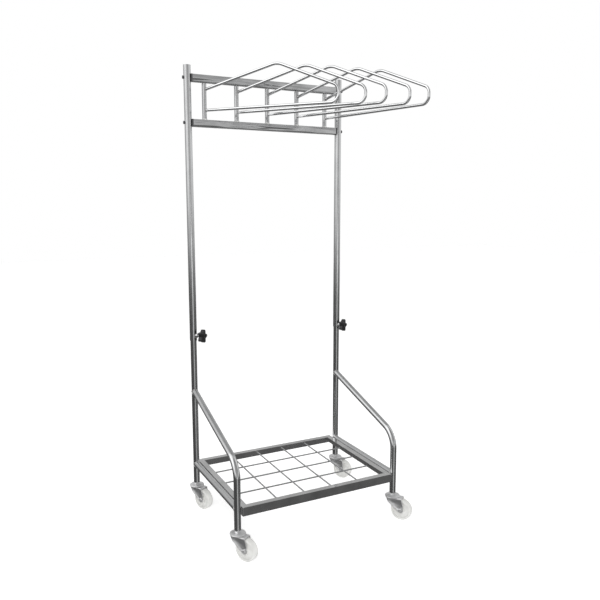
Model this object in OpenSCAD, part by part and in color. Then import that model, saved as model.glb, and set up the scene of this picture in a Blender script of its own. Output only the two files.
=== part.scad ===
// Mobile stand for X-ray protection aprons: two telescopic posts on a wheeled base carry
// a pair of crossbars, and five bent-rod hanger arms swing about upright rods between them.
// Millimetres, +Z up, +Y to the back. The floor is Z = 0, and the origin is under the
// middle of the whole stand's outline.

/* [Frame] */
// Distance between the two posts, axis to axis
post_spacing = 600; // [500:10:700]
// Distance from the posts to the front legs, axis to axis
base_depth = 410; // [360:10:460]
// Height of the post tops
stand_height = 1595; // [1580:5:1750]
// Height of the leg tubes' lower ends
leg_bottom = 95; // [94:0.5:100]
// Outside diameter of the lower posts, legs and side rails
lower_tube_d = 22.2; // [20:0.1:24]
// Outside diameter of the sliding upper tubes
upper_tube_d = 25.4; // [25.2:0.1:28]
// Wall thickness of the lower tubes and of the crossbars
tube_wall = 1.5; // [1:0.1:2]
// Height at which a leg brace's axis meets the post
brace_height = 445; // [400:5:500]
// Height at which the brace's slope reaches the front leg
brace_corner_height = 312; // [280:2:340]
// Bend radius of the front legs, on the centreline
leg_bend_r = 75; // [60:5:90]
// Height of the side rails' axis
side_rail_height = 165; // [150:1:200]

/* [Height adjustment] */
// Height of the lower posts' tops, inside the upper tubes
lower_post_top = 1235; // [1000:5:1235]
// Height of the upper tubes' lower ends
upper_tube_bottom = 635; // [610:1:640]
// Heights of the left and right clamp screws
clamp_heights = [654, 644]; // [643:1:680]
// Turn of the left and right clamp screws from straight across towards the front
clamp_turns = [46, 57]; // [0:1:80]
// How far the left and right knobs stand off their bosses
knob_gaps = [8, 1]; // [1:0.5:12]
// Diameter of the clamp knobs over their lobes
knob_d = 50; // [40:1:54]
// Thickness of the clamp knobs' lobes
knob_thickness = 16; // [12:1:20]

/* [Hangers] */
// Size of the square crossbars
crossbar_size = 25; // [20:1:26]
// Height of the upper crossbar's axis
upper_crossbar_height = 1553.5; // [1550:0.5:1560]
// Height of the lower crossbar's axis
lower_crossbar_height = 1403; // [1402:0.5:1405]
// Distance between neighbouring pivot rods
pivot_pitch = 120; // [100:5:125]
// Diameter of the pivot rods
pivot_rod_d = 10; // [8:1:12]
// Diameter of the rod that the hanger arms are bent from
hanger_rod_d = 9.5; // [8:0.5:10]
// Reach of a hanger arm from its pivot to its tip
hanger_reach = 500; // [450:5:520]
// Direction of each hanger arm, from straight ahead towards the right
hanger_angles = [40, 35, 26, 21, 14]; // [-60:1:60]

/* [Shelf] */
// Height of the shelf frame's upper face
shelf_top = 170; // [160:1:190]
// How far the shelf frame reaches behind the posts' axes
shelf_behind = 26; // [11:1:26]
// Depth of the upright leg of the shelf frame's angle bar
angle_depth = 30; // [25:1:36]
// Width of its level leg
angle_width = 20; // [15:1:30]
// Thickness of the angle bar
angle_thickness = 3; // [2:0.5:4]
// Diameter of the shelf wires
wire_d = 5; // [4:0.5:6]
// Number of wires that run from side to side
long_wires = 3; // [1:1:6]
// Distance between those wires
long_wire_pitch = 100; // [60:5:100]
// Number of wires that run from front to back
cross_wires = 4; // [1:1:8]
// Distance between those wires
cross_wire_pitch = 104; // [60:2:104]

/* [Casters] */
// Diameter of the wheels
wheel_d = 75; // [70:1:75]
// Width of a wheel's tread
wheel_width = 24; // [20:1:28]
// Distance from the swivel axis to the wheel's axis
caster_trail = 35; // [25:1:36]
// Where each wheel trails, from straight right towards the front:
// rear left, front left, front right, rear right
swivel_angles = [64, 58, 53, 57]; // [0:1:359]

/* [Hidden] */
$fn = 48;
gap = 0.1; // radial room of a turning or sliding fit
apart = 0.3; // room between pieces that move past each other

side_names = ["left", "right"];
side_signs = [-1, 1];
corner_names = ["rear_left", "front_left", "front_right", "rear_right"];
corner_signs = [[-1, 1], [-1, -1], [1, -1], [1, 1]];
hanger_count = len(hanger_angles);

// clamp screw, from the post's axis outwards
boss_d = 15;
boss_end = upper_tube_d/2 + 6;
knob_hub_d = 20;
knob_hub_back = 2; // behind the lobes
knob_hub_front = 3; // in front of them
knob_lobes = 5;
knob_lobe_d = 13;
knob_core_d = 34;
clamp_screw_d = 8;
screw_cover = 4; // of plastic over the screw's outer end
function knob_start(i) = boss_end + knob_gaps[i] + knob_hub_back;
function screw_end(i) = knob_start(i) + knob_thickness - screw_cover;

// crossbar ends
bolt_d = 6;
bolt_head_d = 11;
bolt_head_height = 4;
saddle_thickness = 3;
crossbar_length = post_spacing - upper_tube_d - 2*saddle_thickness;
plug_length = 20;
cap_thickness = 3;

// caster forks
fork_thickness = 2.5;
hub_width = wheel_width + 1;
hub_side_room = 0.8;
fork_inside = hub_width/2 + hub_side_room;
fork_outside = fork_inside + fork_thickness;
crown_r = 26; // round at the front, about the swivel axis
crown_back = caster_trail + 3;

// the origin lies under the middle of the outline: the caster covers reach furthest left and
// back, and the tips of the hanger arms reach furthest right and forward
cover_d = 53;
left_limit = -post_spacing/2 - cover_d/2;
right_limit = max([
    for (i = [0:hanger_count - 1])
        (i - (hanger_count - 1)/2)*pivot_pitch + hanger_reach*sin(hanger_angles[i])
]);
front_limit = base_depth/2 - hanger_reach*cos(min(hanger_angles));
back_limit = base_depth/2 + cover_d/2;
middle = [(left_limit + right_limit)/2, (front_limit + back_limit)/2];
rear_y = base_depth/2 - middle.y;
front_y = -base_depth/2 - middle.y;
function post_x(sign) = sign*post_spacing/2 - middle.x;
function pivot_x(i) = (i - (hanger_count - 1)/2)*pivot_pitch - middle.x;
function corner(i) = [post_x(corner_signs[i].x), corner_signs[i].y > 0 ? rear_y : front_y];

// hanger pivots
lower_bar_top = lower_crossbar_height + crossbar_size/2;
upper_bar_bottom = upper_crossbar_height - crossbar_size/2;
pivot_washer_height = 3;
pivot_washer_d = 19;
sleeve_d = 16;
sleeve_bottom = lower_bar_top + pivot_washer_height + apart;
room_above_sleeve = 3;
sleeve_top = upper_bar_bottom - room_above_sleeve;

// the hanger arm's centreline, as distance from the pivot and height
arm_end = hanger_reach - hanger_rod_d/2;
arm_low = lower_bar_top + 32.5;
arm_high = upper_bar_bottom - 24;
arm_peak = [280, 69]; // reach of the peak, and its rise over the arm's start
arm_droop = 18; // of the tip under the arm's start
arm_path = [
    [0, arm_high],
    [arm_peak.x, arm_high + arm_peak.y],
    [arm_end, arm_high - arm_droop],
    [arm_end, arm_low],
    [0, arm_low]
];
arm_bends = [60, 27, 27];

// shelf
shelf_room = 3; // between the shelf frame and the side rails
shelf_x = [post_x(-1) + lower_tube_d/2 + shelf_room, post_x(1) - lower_tube_d/2 - shelf_room];
shelf_y = [front_y - lower_tube_d/2, rear_y + shelf_behind];
shelf_size = [shelf_x[1] - shelf_x[0], shelf_y[1] - shelf_y[0]];
spacer_inset = 55; // from the ends of the shelf frame
spacer_drop = 12.5; // of the studs' axes below the shelf's top
spacer_d = 12;

// casters, from the floor up
axle_height = wheel_d/2;
crown_top = leg_bottom - 14;
crown_bottom = crown_top - fork_thickness;
ball_d = 4.4;
ball_ring_r = 12.5;
ball_count = 12;
cover_bottom = crown_top + ball_d + apart;
cover_top = cover_bottom + 2.5;
stem_d = 10;
stem_top = leg_bottom + 25;
socket_top = stem_top + 5;
stem_nut_width = 17;
axle_d = 8;
bush_d = 12;
hub_d = 24;

// ---- shapes that repeat ----

function unit(v) = v/norm(v);
function corner_half_angle(path, i) =
    acos(unit(path[i - 1] - path[i])*unit(path[i + 1] - path[i]))/2;
// how far from corner i its bend begins; the two ends of the path have no bend
function bend_run(path, bends, i) =
    i == 0 || i == len(path) - 1 ? 0 : bends[i - 1]/tan(corner_half_angle(path, i));
function short_turn(a) = a > 180 ? a - 360 : a < -180 ? a + 360 : a;

// a round bar along a path in the XY plane; the bends are a hair thinner than the straights
// and reach a little way into them, so that no two curved surfaces coincide
module bent_bar(path, bends, d) {
    last = len(path) - 1;
    slimmer = 0.1;
    reach = 0.2;
    for (i = [0:last - 1]) {
        along = unit(path[i + 1] - path[i]);
        from = path[i] + along*bend_run(path, bends, i);
        to = path[i + 1] - along*bend_run(path, bends, i + 1);
        translate([from.x, from.y, 0])
            rotate([0, 0, atan2(along.y, along.x)])
                rotate([0, 90, 0]) cylinder(d = d, h = norm(to - from));
    }
    for (i = [1:last - 1]) {
        before = unit(path[i - 1] - path[i]);
        after = unit(path[i + 1] - path[i]);
        centre = path[i] + unit(before + after)*bends[i - 1]/sin(corner_half_angle(path, i));
        start = path[i] + before*bend_run(path, bends, i) - centre;
        end = path[i] + after*bend_run(path, bends, i) - centre;
        start_angle = atan2(start.y, start.x);
        turn = short_turn(atan2(end.y, end.x) - start_angle);
        extra = reach/bends[i - 1]*180/PI;
        translate([centre.x, centre.y, 0])
            rotate([0, 0, min(start_angle, start_angle + turn) - extra])
                rotate_extrude(angle = abs(turn) + 2*extra)
                    translate([bends[i - 1], 0]) circle(d = d - slimmer);
    }
}

module ring(d, wall) {
    difference() {
        circle(d = d);
        circle(d = d - 2*wall);
    }
}

module tube(d, wall, length) {
    linear_extrude(length) ring(d, wall);
}

// a cylinder from one distance to another along +X
module cross_cylinder(d, from, to) {
    translate([from, 0, 0]) rotate([0, 90, 0]) cylinder(d = d, h = to - from);
}

module at_side(i) {
    translate([post_x(side_signs[i]), rear_y, 0]) children();
}

// local +X points along the clamp screw, away from the post
module at_clamp(i) {
    at_side(i) translate([0, 0, clamp_heights[i]]) rotate([0, 0, -clamp_turns[i]]) children();
}

module at_pivot(i) {
    translate([pivot_x(i), rear_y, 0]) children();
}

// local +X points the way the wheel trails
module at_caster(i) {
    translate([corner(i).x, corner(i).y, 0]) rotate([0, 0, -swivel_angles[i]]) children();
}

// ---- the base ----

module rear_post(i) {
    color("silver") at_side(i) translate([0, 0, leg_bottom])
        tube(lower_tube_d, tube_wall, lower_post_top - leg_bottom);
}

// brace and leg are one bent tube, cut to fit against the post
module front_leg(i) {
    path_down_to = function(z) [
        [0, brace_height],
        [-base_depth, brace_corner_height],
        [-base_depth, z]
    ];
    color("silver") at_side(i) difference() {
        rotate([90, 0, 90]) bent_bar(path_down_to(leg_bottom), [leg_bend_r], lower_tube_d);
        rotate([90, 0, 90])
            bent_bar(path_down_to(leg_bottom - 1), [leg_bend_r], lower_tube_d - 2*tube_wall);
        translate([0, 0, brace_height - 2*lower_tube_d])
            cylinder(d = lower_tube_d, h = 4*lower_tube_d);
    }
}

module side_rail(i) {
    color("silver") at_side(i) difference() {
        translate([0, 0, side_rail_height]) rotate([90, 0, 0])
            tube(lower_tube_d, tube_wall, base_depth);
        for (y = [0, -base_depth])
            translate([0, y, side_rail_height - lower_tube_d])
                cylinder(d = lower_tube_d, h = 2*lower_tube_d);
    }
}

// an angle bar along +X, its corner edge on the X axis at the top, with mitred ends
module angle_bar(length) {
    translate([0, 0, -angle_thickness]) linear_extrude(angle_thickness)
        polygon([
            [0, 0],
            [length, 0],
            [length - angle_width, angle_width],
            [angle_width, angle_width]
        ]);
    translate([0, 0, -angle_depth]) linear_extrude(angle_depth - angle_thickness)
        polygon([
            [0, 0],
            [length, 0],
            [length - angle_thickness, angle_thickness],
            [angle_thickness, angle_thickness]
        ]);
}

module shelf_rail_front() {
    color("silver") translate([shelf_x[0], shelf_y[0], shelf_top]) angle_bar(shelf_size.x);
}

module shelf_rail_back() {
    color("silver") translate([shelf_x[1], shelf_y[1], shelf_top]) rotate([0, 0, 180])
        angle_bar(shelf_size.x);
}

module shelf_rail_left() {
    color("silver") translate([shelf_x[0], shelf_y[1], shelf_top]) rotate([0, 0, -90])
        angle_bar(shelf_size.y);
}

module shelf_rail_right() {
    color("silver") translate([shelf_x[1], shelf_y[0], shelf_top]) rotate([0, 0, 90])
        angle_bar(shelf_size.y);
}

// the cross wires lie under the frame's flanges, and the long wires under the cross wires
module shelf_wires_cross() {
    height = shelf_top - angle_thickness - wire_d/2;
    length = shelf_size.y - 2*angle_thickness;
    color("gainsboro") for (i = [0:cross_wires - 1])
        translate([
            (shelf_x[0] + shelf_x[1])/2 + (i - (cross_wires - 1)/2)*cross_wire_pitch,
            shelf_y[1] - angle_thickness,
            height
        ]) rotate([90, 0, 0]) cylinder(d = wire_d, h = length);
}

module shelf_wires_long() {
    height = shelf_top - angle_thickness - 1.5*wire_d;
    color("gainsboro") for (i = [0:long_wires - 1])
        translate([
            0,
            (shelf_y[0] + shelf_y[1])/2 + (i - (long_wires - 1)/2)*long_wire_pitch,
            height
        ]) cross_cylinder(wire_d, shelf_x[0] + angle_thickness, shelf_x[1] - angle_thickness);
}

// short studs that join the shelf frame to the side rails
module shelf_spacers() {
    height = shelf_top - spacer_drop;
    color("silver") for (i = [0, 1], y = [shelf_y[0] + spacer_inset, shelf_y[1] - spacer_inset])
        difference() {
            translate([0, y, height])
                cross_cylinder(
                    spacer_d,
                    i == 0 ? post_x(-1) : shelf_x[1],
                    i == 0 ? shelf_x[0] : post_x(1)
                );
            translate([post_x(side_signs[i]), y + spacer_d, side_rail_height])
                rotate([90, 0, 0]) cylinder(d = lower_tube_d, h = 2*spacer_d);
        }
}

module caster_sockets() {
    color("dimgray") for (i = [0:3]) at_caster(i) difference() {
        translate([0, 0, leg_bottom])
            cylinder(d = lower_tube_d - 2*tube_wall - gap, h = socket_top - leg_bottom);
        translate([0, 0, leg_bottom - 1])
            cylinder(d = stem_d + gap, h = stem_top - leg_bottom + 2);
    }
}

// stem, hexagon and king pin are one turned piece; its riveted head holds the fork
module caster_stems() {
    rivet_height = 2.5;
    color("lightgray") for (i = [0:3]) at_caster(i) {
        translate([0, 0, leg_bottom]) cylinder(d = stem_d, h = stem_top - leg_bottom);
        translate([0, 0, cover_top])
            cylinder(d = stem_nut_width/cos(30), h = leg_bottom - cover_top, $fn = 6);
        translate([0, 0, crown_bottom - apart])
            cylinder(d = stem_d, h = cover_top - crown_bottom + apart);
        translate([0, 0, crown_bottom - apart - rivet_height])
            cylinder(d = 1.6*stem_d, h = rivet_height);
    }
}

// the upper race, a shallow dome whose rim keeps dust off the balls
module caster_covers() {
    sheet = 1.5;
    rim_r = cover_d/2;
    rim_bottom = crown_top + 0.8;
    race_r = ball_ring_r + ball_d/2 + apart;
    color("lightgray") for (i = [0:3]) at_caster(i) rotate_extrude() polygon([
        [stem_d/2, cover_bottom],
        [race_r, cover_bottom],
        [rim_r - sheet, rim_bottom + sheet],
        [rim_r - sheet, rim_bottom],
        [rim_r, rim_bottom],
        [rim_r, rim_bottom + 2*sheet],
        [race_r, cover_top],
        [stem_d/2, cover_top]
    ]);
}

// ---- the sliding upper frame ----

module upper_tube(i) {
    tube_top = stand_height - cap_thickness;
    color("silver") difference() {
        at_side(i) translate([0, 0, upper_tube_bottom])
            tube(
                upper_tube_d,
                (upper_tube_d - lower_tube_d)/2 - gap,
                tube_top - upper_tube_bottom
            );
        at_clamp(i) cross_cylinder(clamp_screw_d + 2*gap, 0, upper_tube_d);
        for (z = [upper_crossbar_height, lower_crossbar_height])
            at_side(i) translate([0, 0, z])
                cross_cylinder(bolt_d + 2*gap, -upper_tube_d, upper_tube_d);
    }
}

module post_caps() {
    plug_d = lower_tube_d;
    plug_height = 12;
    color("silver") for (i = [0, 1]) at_side(i) {
        translate([0, 0, stand_height - cap_thickness])
            cylinder(d = upper_tube_d, h = cap_thickness);
        translate([0, 0, stand_height - cap_thickness - plug_height])
            cylinder(d = plug_d, h = plug_height);
    }
}

// a square tube between the posts, drilled for the pivot rods through one wall
module crossbar(height, rod_side) {
    inside = crossbar_size - 2*tube_wall;
    middle_x = -middle.x;
    color("silver") difference() {
        translate([middle_x - crossbar_length/2, rear_y - crossbar_size/2, height - crossbar_size/2])
            cube([crossbar_length, crossbar_size, crossbar_size]);
        translate([middle_x - crossbar_length/2 - 1, rear_y - inside/2, height - inside/2])
            cube([crossbar_length + 2, inside, inside]);
        for (i = [0:hanger_count - 1])
            at_pivot(i) translate([0, 0, height + rod_side*crossbar_size/2 - 2*tube_wall])
                cylinder(d = pivot_rod_d, h = 4*tube_wall);
    }
}

module upper_crossbar() {
    crossbar(upper_crossbar_height, -1);
}

module lower_crossbar() {
    crossbar(lower_crossbar_height, 1);
}

// places one piece at each of the four crossbar ends; local +X points at the post
module at_crossbar_ends() {
    for (i = [0, 1], z = [upper_crossbar_height, lower_crossbar_height])
        at_side(i) translate([0, 0, z]) mirror([side_signs[i] < 0 ? 1 : 0, 0, 0]) children();
}

// the saddle is flat on the crossbar's side and hollow on the post's side
module crossbar_saddles() {
    flat_face = -upper_tube_d/2 - saddle_thickness;
    horns = 2.5; // how far the hollow side reaches round the post
    color("dimgray") at_crossbar_ends() difference() {
        translate([flat_face, -crossbar_size/2, -crossbar_size/2])
            cube([saddle_thickness + horns, crossbar_size, crossbar_size]);
        translate([0, 0, -crossbar_size]) cylinder(d = upper_tube_d, h = 2*crossbar_size);
        cross_cylinder(bolt_d + 2*gap, flat_face - 1, 0);
    }
}

module crossbar_bolts() {
    short_of_plug = 4;
    bolt_end = -upper_tube_d/2 - saddle_thickness - plug_length + short_of_plug;
    color("gray") at_crossbar_ends() difference() {
        union() {
            cross_cylinder(bolt_d, bolt_end, upper_tube_d/2);
            cross_cylinder(bolt_head_d, upper_tube_d/4, upper_tube_d/2 + bolt_head_height);
        }
        difference() {
            translate([0, 0, -bolt_head_d]) cylinder(d = upper_tube_d, h = 2*bolt_head_d);
            cross_cylinder(bolt_d, bolt_end, upper_tube_d);
        }
    }
}

// threaded inserts that the bolts hold in the crossbars' ends
module crossbar_plugs() {
    size = crossbar_size - 2*tube_wall - gap;
    face = -upper_tube_d/2 - saddle_thickness;
    color("gray") at_crossbar_ends() difference() {
        translate([face - plug_length, -size/2, -size/2]) cube([plug_length, size, size]);
        cross_cylinder(bolt_d, face - plug_length - 1, face + 1);
    }
}

module pivot_rods() {
    into_bar = 6;
    color("silver") for (i = [0:hanger_count - 1])
        at_pivot(i) translate([0, 0, lower_bar_top - into_bar])
            cylinder(d = pivot_rod_d, h = upper_bar_bottom - lower_bar_top + 2*into_bar);
}

module pivot_washers() {
    color("whitesmoke") for (i = [0:hanger_count - 1])
        at_pivot(i) translate([0, 0, lower_bar_top])
            linear_extrude(pivot_washer_height)
                ring(pivot_washer_d, (pivot_washer_d - pivot_rod_d)/2);
}

// welded to the upper tube; the clamp screw runs through it
module clamp_bosses() {
    color("silver") for (i = [0, 1]) at_clamp(i) difference() {
        cross_cylinder(boss_d, 0, boss_end);
        translate([0, 0, -boss_d]) cylinder(d = upper_tube_d, h = 2*boss_d);
        cross_cylinder(clamp_screw_d + 2*gap, 0, boss_end + 1);
    }
}

// ---- the clamp knobs ----

module clamp_knob(i) {
    lobe_ring_r = (knob_d - knob_lobe_d)/2;
    start = knob_start(i);
    color("#202020") at_clamp(i) difference() {
        union() {
            translate([start, 0, 0]) rotate([0, 90, 0]) linear_extrude(knob_thickness) {
                circle(d = knob_core_d);
                for (a = [0:360/knob_lobes:359])
                    rotate(a) translate([lobe_ring_r, 0]) circle(d = knob_lobe_d);
            }
            cross_cylinder(
                knob_hub_d,
                start - knob_hub_back,
                start + knob_thickness + knob_hub_front
            );
        }
        cross_cylinder(clamp_screw_d, 0, screw_end(i));
    }
}

// its tip bears on the lower post through the upper tube's wall
module clamp_screw(i) {
    color("silver") at_clamp(i)
        cross_cylinder(clamp_screw_d, lower_tube_d/2 + apart, screw_end(i));
}

// ---- the hangers ----

module hanger_arm(i) {
    color("silver") at_pivot(i) difference() {
        rotate([0, 0, hanger_angles[i] - 90]) rotate([90, 0, 0])
            bent_bar(arm_path, arm_bends, hanger_rod_d);
        translate([0, 0, sleeve_bottom]) cylinder(d = sleeve_d, h = sleeve_top - sleeve_bottom);
    }
}

module hanger_sleeve(i) {
    color("silver") at_pivot(i) translate([0, 0, sleeve_bottom])
        tube(sleeve_d, (sleeve_d - pivot_rod_d)/2 - gap, sleeve_top - sleeve_bottom);
}

// ---- the casters ----

// where a line from p touches a circle, on its left (+1) or its right (-1), seen from p
function touch(p, centre, r, side) =
    let (d = norm(centre - p), a = acos(r/d), back = unit(p - centre))
    centre + r*[
        back.x*cos(a) + side*back.y*sin(a),
        back.y*cos(a) - side*back.x*sin(a)
    ];

// a pressed channel: a crown under the balls, and two cheeks that narrow towards the axle
module caster_fork(i) {
    cheek_end_r = 9.5;
    cheek_front = -20;
    axle = [caster_trail, axle_height];
    front_lip = 4; // height of the cheeks' front edge
    front_knee = [-11, crown_top - 20];
    back_knee = [caster_trail + 8.5, crown_top - 25];
    color("lightgray") at_caster(i) difference() {
        union() {
            translate([0, 0, crown_bottom]) linear_extrude(fork_thickness) {
                intersection() {
                    circle(r = crown_r);
                    square([2*crown_r, 2*fork_outside], center = true);
                }
                translate([0, -fork_outside]) square([crown_back, 2*fork_outside]);
            }
            for (y = [-fork_inside, fork_outside])
                translate([0, y, 0]) rotate([90, 0, 0]) linear_extrude(fork_thickness) {
                    translate(axle) circle(r = cheek_end_r);
                    polygon([
                        [cheek_front, crown_top],
                        [crown_back, crown_top],
                        back_knee,
                        touch(back_knee, axle, cheek_end_r, 1),
                        axle,
                        touch(front_knee, axle, cheek_end_r, -1),
                        front_knee,
                        [cheek_front, crown_top - front_lip]
                    ]);
                }
        }
        translate([0, 0, crown_bottom - 1]) cylinder(d = stem_d + 2*gap, h = fork_thickness + 2);
        translate([caster_trail, 2*fork_outside, axle_height])
            rotate([90, 0, 0]) cylinder(d = axle_d, h = 4*fork_outside);
    }
}

module caster_balls(i) {
    color("silver") at_caster(i) for (a = [0:360/ball_count:359])
        rotate([0, 0, a]) translate([ball_ring_r, 0, crown_top + ball_d/2]) sphere(d = ball_d);
}

// a bolt, its nut, and the steel bush that the wheel turns on
module caster_axle(i) {
    head_height = 4;
    head_width = 13;
    color("silver") at_caster(i) translate([caster_trail, 0, axle_height]) rotate([90, 0, 0]) {
        translate([0, 0, -fork_outside - head_height])
            cylinder(d = axle_d, h = 2*(fork_outside + head_height));
        translate([0, 0, fork_outside])
            cylinder(d = head_width/cos(30), h = head_height, $fn = 6);
        translate([0, 0, -fork_outside - head_height]) linear_extrude(head_height) difference() {
            circle(d = head_width/cos(30), $fn = 6);
            circle(d = axle_d + gap);
        }
        translate([0, 0, -fork_inside])
            tube(bush_d, (bush_d - axle_d - gap)/2, 2*fork_inside);
    }
}

module caster_wheel(i) {
    tread_r = wheel_d/2;
    edge_r = 4;
    web = 9;
    rim_inside_r = tread_r - 9;
    color("whitesmoke") at_caster(i) translate([caster_trail, 0, axle_height])
        rotate([90, 0, 0]) rotate_extrude($fn = 96) {
            bore_r = bush_d/2 + gap;
            translate([bore_r, -hub_width/2]) square([hub_d/2 - bore_r, hub_width]);
            translate([bore_r, -web/2]) square([rim_inside_r - bore_r + 1, web]);
            translate([rim_inside_r, -wheel_width/2])
                square([tread_r - rim_inside_r - edge_r, wheel_width]);
            translate([rim_inside_r, -wheel_width/2 + edge_r])
                square([tread_r - rim_inside_r, wheel_width - 2*edge_r]);
            for (side = [-1, 1])
                translate([tread_r - edge_r, side*(wheel_width/2 - edge_r)]) circle(r = edge_r);
        }
}

for (i = [0, 1]) {
    rear_post(i);
    front_leg(i);
    side_rail(i);
    upper_tube(i);
    clamp_knob(i);
    clamp_screw(i);
}
shelf_rail_front();
shelf_rail_back();
shelf_rail_left();
shelf_rail_right();
shelf_wires_long();
shelf_wires_cross();
shelf_spacers();
caster_sockets();
caster_stems();
caster_covers();
post_caps();
upper_crossbar();
lower_crossbar();
crossbar_saddles();
crossbar_bolts();
crossbar_plugs();
pivot_rods();
pivot_washers();
clamp_bosses();
for (i = [0:hanger_count - 1]) {
    hanger_arm(i);
    hanger_sleeve(i);
}
for (i = [0:3]) {
    caster_fork(i);
    caster_balls(i);
    caster_axle(i);
    caster_wheel(i);
}
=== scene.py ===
"""Looks, stage and camera of the lead apron stand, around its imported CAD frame. Metres."""
import math

import bmesh
import bpy
from mathutils import Matrix, Vector


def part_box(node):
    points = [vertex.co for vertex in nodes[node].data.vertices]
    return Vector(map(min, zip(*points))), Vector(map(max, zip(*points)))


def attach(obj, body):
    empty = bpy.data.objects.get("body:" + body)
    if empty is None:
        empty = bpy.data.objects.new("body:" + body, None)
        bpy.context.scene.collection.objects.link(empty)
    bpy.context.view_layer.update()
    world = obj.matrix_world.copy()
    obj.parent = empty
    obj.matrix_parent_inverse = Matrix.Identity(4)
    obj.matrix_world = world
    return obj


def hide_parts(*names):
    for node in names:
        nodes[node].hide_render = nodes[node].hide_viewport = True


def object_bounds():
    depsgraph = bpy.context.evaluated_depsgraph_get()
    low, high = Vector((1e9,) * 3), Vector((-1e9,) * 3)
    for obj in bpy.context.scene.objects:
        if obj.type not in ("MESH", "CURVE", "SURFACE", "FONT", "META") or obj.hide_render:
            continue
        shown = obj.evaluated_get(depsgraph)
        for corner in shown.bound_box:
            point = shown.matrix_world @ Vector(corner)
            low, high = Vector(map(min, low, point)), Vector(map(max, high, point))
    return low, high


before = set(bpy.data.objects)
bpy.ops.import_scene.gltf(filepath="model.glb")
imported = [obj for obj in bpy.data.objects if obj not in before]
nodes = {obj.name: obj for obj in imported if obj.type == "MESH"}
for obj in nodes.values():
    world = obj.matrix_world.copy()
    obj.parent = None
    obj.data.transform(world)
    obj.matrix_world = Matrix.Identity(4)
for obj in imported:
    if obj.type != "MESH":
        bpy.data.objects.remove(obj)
cad_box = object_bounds()

MM = 0.001
UP = Vector((0, 0, 1))
SIDES = ("left", "right")
CORNERS = ("rear_left", "front_left", "front_right", "rear_right")
SHELF_SIDES = ("front", "back", "left", "right")
HANGERS = range(1, 6)
QUARTER_TURN = [math.radians(degrees) for degrees in range(0, 91, 15)]
BEND_STEP = 4  # degrees between the rings of a bent tube or rod
WELD_OVERLAP = 0.3*MM  # how far a cut end reaches into what it is welded to

# the same driving values as the CAD source
SWIVEL_ANGLES = dict(zip(CORNERS, (64, 58, 53, 57)))  # degrees, straight right to front
CLAMP_TURNS = dict(zip(SIDES, (46, 57)))  # degrees, straight right to front
HANGER_ANGLES = dict(zip(HANGERS, (40, 35, 26, 21, 14)))  # degrees, straight ahead to right
LOWER_TUBE_R = 11.1*MM
UPPER_TUBE_R = 12.7*MM
TUBE_WALL = 1.5*MM
LEG_BEND_R = 75*MM
BRACE_HEIGHT = 445*MM
BRACE_CORNER_HEIGHT = 312*MM
HANGER_ROD_R = 4.75*MM
HANGER_REACH = 500*MM
HANGER_TOP_GAP = 24*MM  # from the upper crossbar down to the arm's axis at its sleeve
HANGER_SHOULDER = 280*MM  # from the pivot out to the arm's highest bend
HANGER_RISE = 69*MM  # from the sleeve's end of the arm up to that bend
HANGER_TIP_DROP = 18*MM  # from the sleeve's end of the arm down to the tip's upper bend
HANGER_BENDS = (60*MM, 27*MM, 27*MM)
SLEEVE_R = 8*MM
PIVOT_ROD_R = 5*MM
CLAMP_BOSS_R = 7.5*MM
SQUARE_CORNER_R = 2.5*MM
FORK_HALF_WIDTH = 15.8*MM
TRAIL = 35*MM  # from the swivel's axis to the wheel's


# ---- places, read from the frame ----

def centre(node):
    """The middle of a node's box."""
    low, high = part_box(node)
    return (low + high)/2


def foot(node):
    """The point on the floor under the middle of a node."""
    middle = centre(node)
    return Vector((middle.x, middle.y, 0))


def heading(degrees):
    """The level direction that many degrees round from straight right towards the front."""
    angle = math.radians(degrees)
    return Vector((math.cos(angle), -math.sin(angle), 0))


def extent(node, origin, axis):
    """How far a node reaches along an axis from origin: (least, most)."""
    reach = [(v.co - origin).dot(axis) for v in nodes[node].data.vertices]
    return min(reach), max(reach)


POSTS = {side: foot(f"rear_post_{side}") for side in SIDES}
LEGS_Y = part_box("front_leg_left")[0].y + LOWER_TUBE_R
LEGS = {side: Vector((POSTS[side].x, LEGS_Y, 0)) for side in SIDES}
SWIVELS = {
    "rear_left": POSTS["left"],
    "front_left": LEGS["left"],
    "front_right": LEGS["right"],
    "rear_right": POSTS["right"],
}
PIVOTS = {number: foot(f"hanger_sleeve_{number}") for number in HANGERS}


# ---- mesh tools ----

def circle(middle, u, v, radius, count):
    """A ring of points about middle, in the plane of u and v."""
    turns = [2*math.pi*i/count for i in range(count)]
    return [middle + (u*math.cos(a) + v*math.sin(a))*radius for a in turns]


def skin(bm, rings, loop=False):
    """Joins closed rings of points in order; the two ends are capped, or joined in a loop."""
    made = [[bm.verts.new(p) for p in points] for points in rings]
    for a, b in zip(made, made[1:] + made[:1] if loop else made[1:]):
        for i, corner in enumerate(a):
            bm.faces.new((a[i - 1], corner, b[i], b[i - 1]))
    if not loop:
        bm.faces.new(made[0])
        bm.faces.new(made[-1])


def fillet(points, radii, closed=False, step=6):
    """Points along a polyline with its corners turned into arcs; step is in degrees."""
    count = len(points)
    corners = range(count) if closed else range(1, count - 1)
    radius_of = dict(zip(corners, radii))
    out = []
    for i, corner in enumerate(points):
        radius = radius_of.get(i, 0)
        if not radius:
            out.append(corner)
            continue
        before = (points[i - 1] - corner).normalized()
        after = (points[(i + 1) % count] - corner).normalized()
        half = before.angle(after)/2
        middle = corner + (before + after).normalized()*radius/math.sin(half)
        start = corner + before*radius/math.tan(half) - middle
        end = corner + after*radius/math.tan(half) - middle
        turn = start.angle(end)
        steps = max(2, round(math.degrees(turn)/step))
        for k in range(steps + 1):
            a, b = math.sin(turn*(1 - k/steps)), math.sin(turn*k/steps)
            out.append(middle + (start*a + end*b)/math.sin(turn))
    return out


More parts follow.
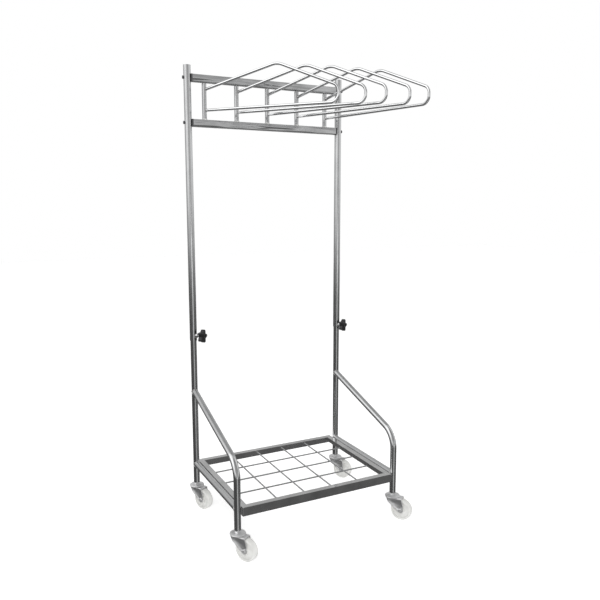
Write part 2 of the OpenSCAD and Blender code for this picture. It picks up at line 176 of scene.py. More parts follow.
def tangents(path):
    """The direction of a path at each of its points."""
    ahead = [(b - a).normalized() for a, b in zip(path, path[1:])]
    joined = [(a + b).normalized() for a, b in zip(ahead, ahead[1:])]
    return [ahead[0], *joined, ahead[-1]]


def sweep(path, radius, count=32):
    """Rings of points round a path, without twist from one to the next."""
    along = tangents(path)
    side = along[0].orthogonal()
    rings = []
    for point, ahead in zip(path, along):
        side = (side - ahead*side.dot(ahead)).normalized()
        rings.append(circle(point, side, ahead.cross(side), radius, count))
    return rings


def onto_upright(point, ahead, origin, radius):
    """Moves a point ahead until it meets the near side of an upright cylinder."""
    flat_ahead = ahead - UP*ahead.dot(UP)
    gap = point - origin
    flat_gap = gap - UP*gap.dot(UP)
    a, b = flat_ahead.dot(flat_ahead), flat_gap.dot(flat_ahead)
    c = flat_gap.dot(flat_gap) - radius*radius
    return point + ahead*(-b - math.sqrt(max(b*b - a*c, 0)))/a


def lathe(bm, origin, axis, profile, hollow=False, count=64):
    """Turns (radius, height) points about an axis; a hollow profile closes on itself."""
    u = axis.orthogonal().normalized()
    v = axis.cross(u)
    rings = [circle(origin + axis*h, u, v, r, count) for r, h in profile]
    skin(bm, rings, loop=hollow)


def arc(x, y, radius, start, end, steps=6):
    """Points of an arc about (x, y), in degrees."""
    angles = [math.radians(start + (end - start)*k/steps) for k in range(steps + 1)]
    return [(x + radius*math.cos(a), y + radius*math.sin(a)) for a in angles]


def inset(outline, amount):
    """Moves the sides of a closed anticlockwise outline inwards."""
    out = []
    for i, p in enumerate(outline):
        before = (p - outline[i - 1]).normalized()
        after = (outline[(i + 1) % len(outline)] - p).normalized()
        a, b = Vector((-before.y, before.x)), Vector((-after.y, after.x))
        out.append(p + (a + b)*amount/(1 + a.dot(b)))
    return out


def stack(bm, outline, levels, place):
    """A solid on a flat outline: levels are (height, inset) pairs from bottom to top."""
    rings = []
    for height, amount in levels:
        points = inset(outline, amount) if amount else outline
        rings.append([place @ Vector((p.x, p.y, height)) for p in points])
    skin(bm, rings)


def bead(bm, loop, size=1.7*MM, ripple=2.4*MM, count=8):
    """A weld bead along a closed loop of points, with the ripples that a weld has."""
    middle = sum(loop, Vector())/len(loop)
    length = sum((b - a).length for a, b in zip(loop, loop[1:] + loop[:1]))
    waves = max(3, round(length/ripple))
    low, rise = 0.82, 0.22
    rings = []
    for i, point in enumerate(loop):
        ahead = (loop[(i + 1) % len(loop)] - loop[i - 1]).normalized()
        out = point - middle
        out = (out - ahead*out.dot(ahead)).normalized()
        wave = abs(math.sin(math.pi*waves*i/len(loop)))
        rings.append(circle(point, out, ahead.cross(out), size*(low + rise*wave), count))
    skin(bm, rings, loop=True)


def collar_bead(bm, middle, radius, size):
    """A weld bead round an upright rod."""
    u = UP.orthogonal().normalized()
    bead(bm, circle(middle, u, UP.cross(u), radius, 72), size)


def facing(axis, origin):
    """The matrix that stands an outline up at origin, to face along a level axis."""
    place = Matrix((UP.cross(axis), UP, axis)).transposed().to_4x4()
    place.translation = origin
    return place


def add_object(name, data):
    """A new object with that data, in the scene."""
    added = bpy.data.objects.new(name, data)
    bpy.context.scene.collection.objects.link(added)
    return added


def new_piece(name, body, material, bm, sharp=32, flat=()):
    """Makes the mesh an object that rides on a body.

    Edges over `sharp` degrees stay sharp, and the faces in `flat` aren't smoothed.
    """
    bmesh.ops.recalc_face_normals(bm, faces=bm.faces)
    for face in bm.faces:
        face.smooth = face not in flat
    for edge in bm.edges:
        edge.smooth = edge.calc_face_angle(0) < math.radians(sharp)
    mesh = bpy.data.meshes.new(name)
    bm.to_mesh(mesh)
    bm.free()
    mesh.materials.append(material)
    piece = add_object(name, mesh)
    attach(piece, body)
    return piece


# ---- materials ----

class Nodes:
    """A material's node tree, with short ways to add to it."""

    def __init__(self, name):
        self.material = bpy.data.materials.new(name)
        self.material.use_nodes = True
        self.tree = self.material.node_tree
        self.shader = self.tree.nodes["Principled BSDF"]
        self.place = self.tree.nodes.new("ShaderNodeTexCoord").outputs["Object"]

    def link(self, start, end):
        self.tree.links.new(start, end)

    def noise(self, scale, stretch=(1, 1, 1), detail=3.0, roughness=0.5):
        """Noise in the object's own space; a stretch below 1 draws it out along that axis."""
        mapping = self.tree.nodes.new("ShaderNodeMapping")
        mapping.inputs["Scale"].default_value = stretch
        node = self.tree.nodes.new("ShaderNodeTexNoise")
        node.inputs["Scale"].default_value = scale
        node.inputs["Detail"].default_value = detail
        node.inputs["Roughness"].default_value = roughness
        self.link(self.place, mapping.inputs["Vector"])
        self.link(mapping.outputs["Vector"], node.inputs["Vector"])
        return node.outputs["Fac"]

    def ramp(self, factor, stops):
        """Colours or grey values along a factor: stops are (position, colour) pairs."""
        node = self.tree.nodes.new("ShaderNodeValToRGB")
        elements = node.color_ramp.elements
        while len(elements) < len(stops):
            elements.new(0.5)
        for element, (position, colour) in zip(elements, stops):
            element.position = position
            element.color = (*colour, 1)
        self.link(factor, node.inputs["Fac"])
        return node.outputs["Color"]

    def between(self, noise, low, high):
        """Spreads noise, which mostly lies from 0.3 to 0.7, between two values."""
        node = self.tree.nodes.new("ShaderNodeMapRange")
        node.inputs["From Min"].default_value = 0.3
        node.inputs["From Max"].default_value = 0.7
        node.inputs["To Min"].default_value = low
        node.inputs["To Max"].default_value = high
        self.link(noise, node.inputs["Value"])
        return node.outputs["Result"]

    def bump(self, height, strength, distance):
        """Adds a bump, on top of any that the shader has already."""
        node = self.tree.nodes.new("ShaderNodeBump")
        node.inputs["Strength"].default_value = strength
        node.inputs["Distance"].default_value = distance
        self.link(height, node.inputs["Height"])
        normal = self.shader.inputs["Normal"]
        if normal.is_linked:
            self.link(normal.links[0].from_socket, node.inputs["Normal"])
        self.link(node.outputs["Normal"], normal)

    def set(self, **values):
        """Sets the shader's own sockets, such as emission_color for Emission Color."""
        for name, value in values.items():
            self.shader.inputs[name.replace("_", " ").title()].default_value = value


def shade(colour, amount):
    """A colour made darker or lighter."""
    return tuple(c*amount for c in colour)


def metal(name, colour, roughness, grain=(1, 1, 1), grain_scale=900, stain=0.86,
          bump=0.005, waves=None):
    """Metal with fine grain in its roughness and height, and broad faint stains in its tone.

    waves is the stretch of the long shallow waves of a rolled flat face.
    """
    n = Nodes(name)
    n.set(metallic=1.0)
    spread = 0.3
    fine = n.noise(grain_scale, grain)
    broad = n.noise(scale=14, detail=4.0, roughness=0.6)
    n.link(n.between(fine, roughness*(1 - spread), roughness*(1 + spread)),
           n.shader.inputs["Roughness"])
    n.link(n.ramp(broad, [(0.3, shade(colour, stain)), (0.62, colour)]),
           n.shader.inputs["Base Color"])
    n.bump(fine, bump, distance=0.05*MM)
    if waves:
        n.bump(n.noise(scale=60, stretch=waves, detail=1.0), strength=1, distance=4*MM)
    return n.material


def plastic(name, colour, dark, roughness, grain_scale, bump, distance):
    """Moulded plastic or rubber with a fine-grained skin and slight changes of tone."""
    n = Nodes(name)
    spread = 0.15
    fine = n.noise(grain_scale, detail=2.0)
    broad = n.noise(scale=30, detail=4.0)
    n.link(n.between(broad, roughness*(1 - spread), roughness*(1 + spread)),
           n.shader.inputs["Roughness"])
    n.link(n.ramp(broad, [(0.3, dark), (0.65, colour)]), n.shader.inputs["Base Color"])
    n.bump(fine, bump, distance)
    return n.material


STEEL = (0.66, 0.665, 0.67)
MATERIALS = {
    "upright_tube": metal("polished_upright_tube", STEEL, roughness=0.16, grain=(1, 1, 0.02)),
    # painted highlight: the level tubes are the uprights' steel painted 8% lighter, for the
    # light that these level bars catch
    "level_tube": metal("polished_level_tube_painted_lighter", shade(STEEL, 1.08), roughness=0.15,
                        grain=(0.02, 1, 1), waves=(0.12, 1, 1)),
    "rail_tube": metal("polished_rail_tube", STEEL, roughness=0.18, grain=(1, 0.02, 1)),
    "bent_tube": metal("polished_bent_tube", STEEL, roughness=0.2, bump=0.004),
    "rod": metal("bright_rod", (0.84, 0.845, 0.85), roughness=0.13, stain=0.92, bump=0.004),
    "wire": metal("shelf_wire", (0.6, 0.605, 0.61), roughness=0.2, stain=0.85),
    "angle": metal("satin_angle", (0.7, 0.7, 0.7), roughness=0.14, grain_scale=420,
                   stain=0.78),
    "zinc": metal("bright_zinc_plate", (0.94, 0.94, 0.945), roughness=0.48, grain_scale=600,
                  stain=0.82, bump=0.1),
    "bolt": metal("pale_zinc_bolt", (0.96, 0.96, 0.96), roughness=0.62, grain_scale=600,
                  bump=0.1),
    "weld": metal("weld_bead", (0.62, 0.61, 0.6), roughness=0.3, grain_scale=500, stain=0.7,
                  bump=0.3),
    "dark_steel": metal("dark_bolt_steel", (0.2, 0.2, 0.21), roughness=0.38, grain_scale=500,
                        stain=0.6, bump=0.2),
    "black_plastic": plastic("black_moulded_plastic", (0.011, 0.011, 0.012),
                             dark=(0.006, 0.006, 0.007), roughness=0.36, grain_scale=1600,
                             bump=0.25, distance=0.1*MM),
    "rubber": plastic("black_rubber", (0.06, 0.06, 0.062), dark=(0.035, 0.035, 0.036),
                      roughness=0.62, grain_scale=900, bump=0.3, distance=0.1*MM),
    "nylon": plastic("white_nylon", (0.75, 0.75, 0.73), dark=(0.64, 0.64, 0.62),
                     roughness=0.36, grain_scale=700, bump=0.12, distance=0.08*MM),
}

# the CAD nodes that stay in view; the others are replaced below
CAD_MATERIALS = {
    "upright_tube": [*[f"rear_post_{side}" for side in SIDES],
                     *[f"upper_tube_{side}" for side in SIDES],
                     "post_caps", "clamp_bosses", "pivot_rods",
                     *[f"hanger_sleeve_{number}" for number in HANGERS]],
    "rail_tube": [f"side_rail_{side}" for side in SIDES],
    "level_tube": ["shelf_spacers"],
    "rod": [f"clamp_screw_{side}" for side in SIDES],
    "wire": ["shelf_wires_long", "shelf_wires_cross"],
    "zinc": ["caster_stems", *[f"caster_balls_{corner}" for corner in CORNERS]],
    "dark_steel": ["crossbar_bolts", "crossbar_plugs", "caster_sockets"],
    "rubber": ["crossbar_saddles"],
    "nylon": ["pivot_washers"],
}
for kind, names in CAD_MATERIALS.items():
    for name in names:
        nodes[name].data.materials.clear()
        nodes[name].data.materials.append(MATERIALS[kind])


# ---- bent tubes and rods ----

def bent_leg(side):
    """A front leg and its brace: one hollow bent tube, cut to fit against the post.

    Returns the outer ring of the cut end, for its weld.
    """
    node = f"front_leg_{side}"
    post, leg = POSTS[side], LEGS[side]
    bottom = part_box(node)[0].z
    path = fillet([
        post + UP*BRACE_HEIGHT,
        leg + UP*BRACE_CORNER_HEIGHT,
        leg + UP*bottom,
    ], [LEG_BEND_R], step=BEND_STEP)
    down = (path[1] - path[0]).normalized()
    path[0] += down*2*LOWER_TUBE_R  # clear of the post, then cut back to fit it
    outer = sweep(path, LOWER_TUBE_R, 48)
    inner = sweep(path, LOWER_TUBE_R - TUBE_WALL, 48)
    for rings in (outer, inner):
        rings[0] = [onto_upright(p, -down, post, LOWER_TUBE_R - WELD_OVERLAP)
                    for p in rings[0]]
    bm = bmesh.new()
    skin(bm, outer + inner[::-1], loop=True)
    piece = new_piece(f"bent_leg_{side}", "base", MATERIALS["bent_tube"], bm)
    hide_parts(node)
    return outer[0]


def hanger_path(number):
    """The centreline of a hanger arm, from its sleeve out, round the loop and back."""
    out = heading(90 - HANGER_ANGLES[number])
    end = HANGER_REACH - HANGER_ROD_R
    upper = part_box("upper_crossbar")[0].z - HANGER_TOP_GAP
    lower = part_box(f"hanger_arm_{number}")[0].z + HANGER_ROD_R
    corners = [(0, upper), (HANGER_SHOULDER, upper + HANGER_RISE),
               (end, upper - HANGER_TIP_DROP), (end, lower), (0, lower)]
    return fillet([PIVOTS[number] + out*r + UP*z for r, z in corners], HANGER_BENDS,
                  step=BEND_STEP)


def hanger_rod(number):
    """One hanger arm, bent from round rod, with its two ends cut to fit the sleeve."""
    pivot = PIVOTS[number]
    path = hanger_path(number)
    ends = ((0, 1), (-1, -2))
    for end, inner in ends:
        away = (path[inner] - path[end]).normalized()
        path[end] += away*2*SLEEVE_R  # clear of the sleeve, then cut back to fit it
    rings = sweep(path, HANGER_ROD_R)
    loops = []
    for end, inner in ends:
        back = (path[end] - path[inner]).normalized()
        loops.append([onto_upright(p, back, pivot, SLEEVE_R) for p in rings[end]])
        rings[end] = [onto_upright(p, back, pivot, SLEEVE_R - WELD_OVERLAP)
                      for p in rings[end]]
    bm = bmesh.new()
    skin(bm, rings)
    body = f"hanger_{number}"
    piece = new_piece(f"hanger_rod_{number}", body, MATERIALS["rod"], bm)
    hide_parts(f"hanger_arm_{number}")
    bm = bmesh.new()
    for loop in loops:
        bead(bm, loop, size=1.3*MM)
    new_piece(f"hanger_welds_{number}", body, MATERIALS["weld"], bm)


brace_loops = [bent_leg(side) for side in SIDES]
for hanger in HANGERS:
    hanger_rod(hanger)


# ---- star knobs ----

def star_knob(side):
    """A five-lobed knob with rounded edges, a collar behind it and a dished boss in front."""
    node = f"clamp_knob_{side}"
    out = heading(CLAMP_TURNS[side])
    origin = Vector((POSTS[side].x, POSTS[side].y, centre(node).z))
    start, end = extent(node, origin, out)
    lobes, valley_r, lobe_rise, edge_r = 5, 15.6*MM, 9.3*MM, 3*MM
    collar, boss = 2*MM, 3*MM
    points = 120
    outline = []
    for k in range(points):
        angle = 2*math.pi*k/points
        r = valley_r + lobe_rise*(1 + math.cos(lobes*angle))/2
        outline.append(Vector((r*math.cos(angle), r*math.sin(angle))))
    back, front = start + collar, end - boss
    levels = [(back + edge_r*(1 - math.cos(a)), edge_r*(1 - math.sin(a)))
              for a in QUARTER_TURN]
    levels += [(front - edge_r*(1 - math.cos(a)), edge_r*(1 - math.sin(a)))
               for a in reversed(QUARTER_TURN)]
    collar_profile = [(9.2*MM, start), (10*MM, start + 0.8*MM), (10*MM, back + 1*MM)]
    boss_profile = [
        (10.5*MM, front - 1*MM), (10*MM, front + 1*MM), (9.4*MM, end - 0.6*MM), (8.6*MM, end),
        (6.5*MM, end), (5.5*MM, end - 0.8*MM), (3*MM, end - 1.2*MM),
    ]
    bm = bmesh.new()
    stack(bm, outline, levels, facing(out, origin))
    for profile in (collar_profile, boss_profile):
        lathe(bm, origin, out, profile)
    piece = new_piece(f"star_knob_{side}", f"{side}_clamp",
                      MATERIALS["black_plastic"], bm, sharp=50)
    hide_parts(node)


for side in SIDES:
    star_knob(side)


# ---- crossbars ----

def square_bar(level):
    """The upper or lower crossbar: a square tube with rounded corners."""
    node = f"{level}_crossbar"
    low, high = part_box(node)
    half = (high.z - low.z)/2
    middle = centre(node)
    rings = []
    for x, wall in ((low.x, 0), (high.x, 0), (high.x, TUBE_WALL), (low.x, TUBE_WALL)):
        reach, radius = half - wall, SQUARE_CORNER_R - wall
        corners = [Vector((x, middle.y + reach*y, middle.z + reach*z))
                   for y, z in ((-1, -1), (1, -1), (1, 1), (-1, 1))]
        rings.append(fillet(corners, [radius]*4, closed=True, step=15))
    bm = bmesh.new()
    skin(bm, rings, loop=True)
    piece = new_piece(f"square_bar_{level}", "upper_frame",
                      MATERIALS["level_tube"], bm)
    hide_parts(node)


for level in ("upper", "lower"):
    square_bar(level)


# ---- shelf ----

def shelf_angle(side):
    """A copy of a shelf rail's CAD node with its edges rounded off, which replaces it."""
    node = f"shelf_rail_{side}"
    bm = bmesh.new()
    bm.from_mesh(nodes[node].data)
    bmesh.ops.remove_doubles(bm, verts=bm.verts, dist=0.01*MM)
    nearly_flat = math.radians(1)
    bmesh.ops.dissolve_limit(bm, angle_limit=nearly_flat, verts=bm.verts, edges=bm.edges)
    edges = [e for e in bm.edges if e.calc_face_angle(0) > nearly_flat]
    rounded = bmesh.ops.bevel(bm, geom=edges, offset=0.6*MM, segments=3, profile=0.5,
                              affect="EDGES", clamp_overlap=True)["faces"]
    piece = new_piece(f"shelf_angle_{side}", "base", MATERIALS["angle"], bm,
                      sharp=40, flat=set(bm.faces) - set(rounded))
    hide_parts(node)


for side in SHELF_SIDES:
    shelf_angle(side)


# ---- casters ----

def touch(point, middle, radius, side):
    """Where a line from a point touches a circle, on its left (+1) or right (-1)."""
    back = point - middle
    angle = side*math.acos(radius/back.length)
    cos, sin = math.cos(angle), math.sin(angle)
    back.normalize()
    return middle + Vector((back.x*cos + back.y*sin, back.y*cos - back.x*sin))*radius


def arc_between(middle, start, end):
    """Points of a circle from start to end, anticlockwise."""
    first = math.atan2(start.y - middle.y, start.x - middle.x)
    last = math.atan2(end.y - middle.y, end.x - middle.x)
    turn = (last - first) % (2*math.pi)
    step = 8  # degrees
    steps = max(2, round(math.degrees(turn)/step))
    radius = (start - middle).length
    angles = [first + turn*k/steps for k in range(steps + 1)]
    return [middle + Vector((math.cos(a), math.sin(a)))*radius for a in angles]


def caster_place(corner):
    """Local +X is the way the wheel trails, and the origin is on the floor under the stem."""
    turn = Matrix.Rotation(-math.radians(SWIVEL_ANGLES[corner]), 4, "Z")
    return Matrix.Translation(SWIVELS[corner]) @ turn


def axle_direction(corner):
    """The way a caster's axle points, from its head to its nut."""
    return caster_place(corner).to_3x3() @ Vector((0, 1, 0))


def pressed_fork(corner):
    """A pressed fork: a crown with rounded folds, and two cheeks with sunk panels."""
    node = f"caster_fork_{corner}"
    place = caster_place(corner)
    sheet, crown_r, cheek_end_r = 2.5*MM, 26*MM, 9.5*MM
    crown_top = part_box(node)[1].z
    crown_bottom = crown_top - sheet
    axle = Vector((TRAIL, centre(f"caster_wheel_{corner}").z))

    # a cheek's outline, seen from the side: from the crown down round the axle and back up
    crown_front, crown_back = -20*MM, TRAIL + 3*MM
    front_knee, front_knee_r = Vector((-11*MM, crown_top - 20*MM)), 14*MM
    back_knee, back_knee_r = Vector((TRAIL + 8.5*MM, crown_top - 25*MM)), 20*MM
    front_touch = touch(front_knee, axle, cheek_end_r, -1)
    back_touch = touch(back_knee, axle, cheek_end_r, 1)
    round_axle = arc_between(axle, front_touch, back_touch)
    cheek = fillet(
        [Vector((crown_back, crown_bottom)), Vector((crown_front, crown_bottom)),
         front_knee, *round_axle, back_knee],
        [0, 0, front_knee_r] + [0]*len(round_axle) + [back_knee_r], closed=True)

    # its thickness, with a rounded outer edge and a sunk panel inside a rim
    inside, outside = FORK_HALF_WIDTH - sheet, FORK_HALF_WIDTH
    levels = [(inside, 0.4*MM), (inside + 0.3*MM, 0), (outside - 0.7*MM, 0),
              (outside - 0.2*MM, 0.25*MM), (outside, 0.8*MM), (outside, 2.6*MM),
              (outside - 0.6*MM, 3.3*MM)]
    stand_up = Matrix(((1, 0, 0, 0), (0, 0, -1, 0), (0, 1, 0, 0), (0, 0, 0, 1)))
    flip = Matrix.Scale(-1, 4, Vector((0, 1, 0)))
    bm = bmesh.new()
    for mirror in (Matrix.Identity(4), flip):
        stack(bm, cheek, levels, place @ mirror @ stand_up)

    # the crown, round in front, whose top edge folds over
    spread = math.degrees(math.asin(FORK_HALF_WIDTH/crown_r))
    front = [Vector(p) for p in arc(0, 0, crown_r, 180 - spread, 180 + spread, 12)]
    crown = [*front, Vector((crown_back, -FORK_HALF_WIDTH)),
             Vector((crown_back, FORK_HALF_WIDTH))]
    fold = [(crown_bottom + sheet*math.sin(a), sheet*(1 - math.cos(a))) for a in QUARTER_TURN]
    stack(bm, crown, fold, place)
    piece = new_piece(f"pressed_fork_{corner}", f"swivel_{corner}",
                      MATERIALS["zinc"], bm, sharp=45)
    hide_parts(node)


def nylon_wheel(corner):
    """A moulded wheel: a crowned tread, shallow dished sides and a raised hub."""
    node = f"caster_wheel_{corner}"
    hub = centre(node)
    radius = hub.z
    side = [
        (6.1*MM, 12.5*MM), *arc(11.2*MM, 11.7*MM, 0.8*MM, 90, 0, 4),  # the hub's end
        *arc(13.6*MM, 10.2*MM, 1.6*MM, 180, 270, 4), (26*MM, 8.6*MM),  # the dished side
        *arc(27.4*MM, 10.4*MM, 1.8*MM, 270, 360, 4),  # up to the rim
        *arc(30.4*MM, 10.8*MM, 1.2*MM, 180, 90, 4),
        *arc(radius - 4.3*MM, 8*MM, 4*MM, 90, 8, 8),  # round to the tread
    ]
    profile = side + [(radius, 0)] + [(r, -h) for r, h in side[::-1]]
    bm = bmesh.new()
    lathe(bm, hub, axle_direction(corner), profile, hollow=True, count=96)
    piece = new_piece(f"nylon_wheel_{corner}", f"wheel_{corner}",
                      MATERIALS["nylon"], bm, sharp=60)
    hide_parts(node)


def hexagon(width):
    """A hexagon of that width across its flats."""
    return [Vector(p) for p in arc(0, 0, width/2/math.cos(math.radians(30)), 0, 300, 5)]


def axle_bolt(corner):
    """The axle: a bolt with a chamfered head, a lock nut with its collar, and the bush."""
    node = f"caster_axle_{corner}"
    hub = centre(f"caster_wheel_{corner}")
    axis = axle_direction(corner)
    start, end = extent(node, hub, axis)
    head, bolt_r, bush_r = 4*MM, 4*MM, 6*MM
    six_sides = hexagon(13*MM)
    place = facing(axis, hub)
    bm = bmesh.new()
    stack(bm, six_sides, [(start, 1.1*MM), (start + 0.7*MM, 0), (start + head, 0)], place)
    stack(bm, six_sides, [(end - head, 0), (end - 1.6*MM, 0), (end - 1.1*MM, 0.8*MM)], place)
    nut_collar = [(5.6*MM, end - 1.3*MM), (5.4*MM, end - 0.5*MM), (4.6*MM, end - 0.2*MM),
                  (4.1*MM, end - 0.5*MM)]
    bolt = [(bolt_r, start + head/2), (bolt_r, end - 0.6*MM), (3.4*MM, end)]
    bush = [(bush_r, start + head), (bush_r, end - head)]
    for profile in (nut_collar, bolt, bush):
        lathe(bm, hub, axis, profile, count=32)
    piece = new_piece(f"axle_bolt_{corner}", f"swivel_{corner}",
                      MATERIALS["bolt"], bm, sharp=30)
    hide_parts(node)


def race_covers():
    """The domed upper races of all four casters, each with a rolled rim."""
    low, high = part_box("caster_covers")
    rim_r, bore_r = 26.45*MM, 5*MM
    # out along the underside, down and round the rolled rim, and back over the dome
    profile = [
        (bore_r, high.z - 2.2*MM), (15*MM, high.z - 2.2*MM),
        (rim_r - 1.5*MM, low.z + 1.5*MM), (rim_r - 1.5*MM, low.z + 0.3*MM),
        *arc(rim_r - 0.75*MM, low.z + 0.6*MM, 0.6*MM, 180, 360), (rim_r, low.z + 1.6*MM),
        *arc(rim_r - 1.5*MM, low.z + 1.6*MM, 1.5*MM, 0, 68, 4), (17.5*MM, high.z - 0.9*MM),
        (15*MM, high.z - 0.25*MM), (12.5*MM, high.z), (bore_r, high.z),
    ]
    bm = bmesh.new()
    for corner in CORNERS:
        lathe(bm, SWIVELS[corner], UP, profile, hollow=True)
    piece = new_piece("race_covers", "base", MATERIALS["zinc"], bm, sharp=60)
    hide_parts("caster_covers")


for caster in CORNERS:
    pressed_fork(caster)
    nylon_wheel(caster)
    axle_bolt(caster)
race_covers()


# ---- weld beads ----

def tube_end_loop(post, point, ahead, radius, post_radius):
    """Where a tube that runs ahead through a point meets an upright tube."""
    side = ahead.orthogonal().normalized()
    start = circle(point, side, ahead.cross(side), radius, 96)
    return [onto_upright(p, ahead, post, post_radius) for p in start]


def base_welds():
    """The beads where the braces and side rails meet the posts and legs."""
    just_inside = LOWER_TUBE_R - 0.05*MM  # so that the whole ring meets a tube of its size
    bm = bmesh.new()
    for side, loop in zip(SIDES, brace_loops):
        bead(bm, loop)
        rail = centre(f"side_rail_{side}")
        for post, ahead in ((POSTS[side], Vector((0, 1, 0))), (LEGS[side], Vector((0, -1, 0)))):
            bead(bm, tube_end_loop(post, rail, ahead, just_inside, LOWER_TUBE_R))
    new_piece("base_welds", "base", MATERIALS["weld"], bm)


def upper_welds():
    """The beads round the pivot rods' ends and round the clamp screws' bosses."""
    bm = bmesh.new()
    low_bar_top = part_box("lower_crossbar")[1].z
    high_bar_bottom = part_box("upper_crossbar")[0].z
    beside_rod = PIVOT_ROD_R + 0.3*MM
    for pivot in PIVOTS.values():
        for height in (low_bar_top, high_bar_bottom):
            collar_bead(bm, pivot + UP*height, beside_rod, size=1.2*MM)
    for side in SIDES:
        out = heading(CLAMP_TURNS[side])
        point = Vector((POSTS[side].x, POSTS[side].y, centre(f"clamp_knob_{side}").z))
        bead(bm, tube_end_loop(POSTS[side], point + out*3*UPPER_TUBE_R, -out, CLAMP_BOSS_R,
                               UPPER_TUBE_R))
    new_piece("upper_welds", "upper_frame", MATERIALS["weld"], bm)


base_welds()
upper_welds()


# ---- stage, light and camera ----

WHITE = (1, 1, 1, 1)
LIGHTING, SEEN, REFLECTED = 0.62, 1, 1.1  # the world's strength for each kind of ray


def stage_floor():
    """A plain pale floor, whose glow brings it up to the white behind it."""
    half_width = 12
    bm = bmesh.new()
    bmesh.ops.create_grid(bm, x_segments=8, y_segments=8, size=half_width)
    mesh = bpy.data.meshes.new("floor")
    bm.to_mesh(mesh)
    bm.free()
    floor = add_object("floor", mesh)
    n = Nodes("pale_floor")
    n.set(roughness=0.9, emission_color=WHITE, emission_strength=0.43)
    n.link(n.ramp(n.noise(scale=3), [(0.0, (0.89, 0.89, 0.89)), (1.0, (0.93, 0.93, 0.93))]),
           n.shader.inputs["Base Color"])
    mesh.materials.append(n.material)
    floor.visible_glossy = False


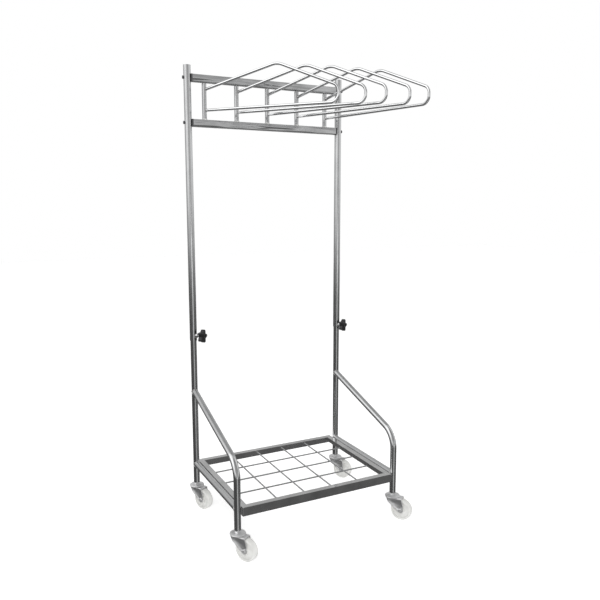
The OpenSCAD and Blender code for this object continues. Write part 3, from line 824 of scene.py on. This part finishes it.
def stage_world():
    """White to the eye, and in reflections a studio: light above, dark below, with strips."""
    world = bpy.data.worlds.new("studio")
    bpy.context.scene.world = world
    world.use_nodes = True
    tree = world.node_tree
    tree.nodes.clear()
    new, link = tree.nodes.new, tree.links.new
    out = new("ShaderNodeOutputWorld")
    rays = new("ShaderNodeLightPath")
    direction = new("ShaderNodeTexCoord")
    parts = new("ShaderNodeSeparateXYZ")
    link(direction.outputs["Generated"], parts.inputs["Vector"])
    azimuth = new("ShaderNodeMath")
    azimuth.operation = "ARCTAN2"
    link(parts.outputs["X"], azimuth.inputs[0])
    link(parts.outputs["Y"], azimuth.inputs[1])

    def ramp(value, low, high, stops):
        """Eased greys along a value from low to high: stops are (value, grey) pairs."""
        spread = new("ShaderNodeMapRange")
        spread.inputs["From Min"].default_value = low
        spread.inputs["From Max"].default_value = high
        link(value, spread.inputs["Value"])
        node = new("ShaderNodeValToRGB")
        node.color_ramp.interpolation = "EASE"
        elements = node.color_ramp.elements
        while len(elements) < len(stops):
            elements.new(0.5)
        for element, (position, grey) in zip(elements, stops):
            element.position = (position - low)/(high - low)
            element.color = (grey, grey, grey, 1)
        link(spread.outputs["Result"], node.inputs["Fac"])
        return node.outputs["Color"]

    def by_height(*stops):
        """Bands by the height of a direction: -1 is straight down and 1 is straight up."""
        return ramp(parts.outputs["Z"], -1, 1, stops)

    def compass(*stops):
        """Soft-edged strips round the compass: (degrees clockwise from the back, grey)."""
        return ramp(azimuth.outputs[0], -math.pi, math.pi,
                    [(math.radians(degrees), grey) for degrees, grey in stops])

    def mix(kind, a, b, factor=None):
        """Two colours mixed that way, all through or by a factor."""
        node = new("ShaderNodeMix")
        node.data_type = "RGBA"
        node.blend_type = kind
        node.inputs["Factor"].default_value = 1
        if factor:
            link(factor, node.inputs["Factor"])
        link(a, node.inputs["A"])
        link(b, node.inputs["B"])
        return node.outputs["Result"]

    tone = by_height(
        (-1, 0.3), (-0.75, 0.2), (-0.5, 0.14), (-0.3, 0.13), (-0.2, 0.12), (-0.13, 0.16),
        (-0.06, 0.5), (0.05, 0.78), (0.3, 0.66), (0.6, 0.66), (0.9, 0.5), (1, 0.5),
    )
    above_horizon = by_height((-1, 0), (-0.14, 0), (0.02, 1), (1, 1))
    overhead = by_height((-1, 0), (0.16, 0), (0.34, 1), (1, 1))
    low_strips = compass(
        (-180, 4.8), (-170, 4.8), (-158, 1), (-125, 0.55), (-56, 0.6), (-20, 0.9), (18, 0.9),
        (90, 0.9), (118, 0.85), (168, 0.85), (176, 4.8), (180, 4.8),
    )
    high_strips = compass(
        (-180, 0.6), (-158, 0.6), (-140, 1.3), (-90, 1.3), (-70, 0.65), (-20, 0.65),
        (30, 0.75), (70, 0.7), (85, 1.05), (140, 1.05), (155, 0.7), (180, 0.6),
    )
    top_strips = compass(
        (-180, 0.55), (-140, 0.6), (-110, 2.4), (-58, 2.4), (-40, 0.9), (0, 0.78), (60, 0.65),
        (85, 1.3), (112, 1.3), (135, 0.55), (180, 0.55),
    )
    sides = mix("MIX", low_strips, high_strips, above_horizon)
    strips = mix("MIX", sides, top_strips, overhead)
    studio = mix("MULTIPLY", tone, strips)

    def background(strength, colour=None):
        """A background of that colour, or white."""
        node = new("ShaderNodeBackground")
        node.inputs["Strength"].default_value = strength
        node.inputs["Color"].default_value = WHITE
        if colour:
            link(colour, node.inputs["Color"])
        return node.outputs["Background"]

    def choose(ray_kind, otherwise, chosen):
        """One shader for that kind of ray, and another for all others."""
        node = new("ShaderNodeMixShader")
        link(rays.outputs[ray_kind], node.inputs["Fac"])
        link(otherwise, node.inputs[1])
        link(chosen, node.inputs[2])
        return node.outputs["Shader"]

    lit_or_seen = choose("Is Camera Ray", background(LIGHTING), background(SEEN))
    link(choose("Is Glossy Ray", lit_or_seen, background(REFLECTED, studio)),
         out.inputs["Surface"])


def soft_light(name, offset, size, power):
    """A soft box that faces the middle of the stand and doesn't show in reflections."""
    target = (cad_box[0] + cad_box[1])/2
    place = target + Vector(offset)
    data = bpy.data.lights.new(name, "AREA")
    data.shape = "RECTANGLE"
    data.size, data.size_y = size
    data.energy = power
    light = add_object(name, data)
    light.location = place
    light.rotation_euler = (target - place).to_track_quat("-Z", "Y").to_euler()
    light.visible_glossy = False


def camera():
    """The photo's camera: its place is from the left post's foot, its turns in degrees."""
    lens, sensor_width = 38.8, 36
    place = (-0.7102, -2.2238, 1.1222)
    tilt, turn = 81.62, -27.25
    data = bpy.data.cameras.new("camera")
    data.lens, data.sensor_width = lens, sensor_width
    eye = add_object("camera", data)
    eye.location = POSTS["left"] + Vector(place)
    eye.rotation_euler = (math.radians(tilt), 0, math.radians(turn))
    bpy.context.scene.camera = eye


stage_floor()
stage_world()
soft_light("key", offset=(-1.6, -2.0, 1.9), size=(1.2, 1.2), power=45)
soft_light("fill", offset=(2.4, -1.0, 0.8), size=(0.5, 1.8), power=16)
camera()
bpy.context.scene.view_settings.view_transform = "Standard"
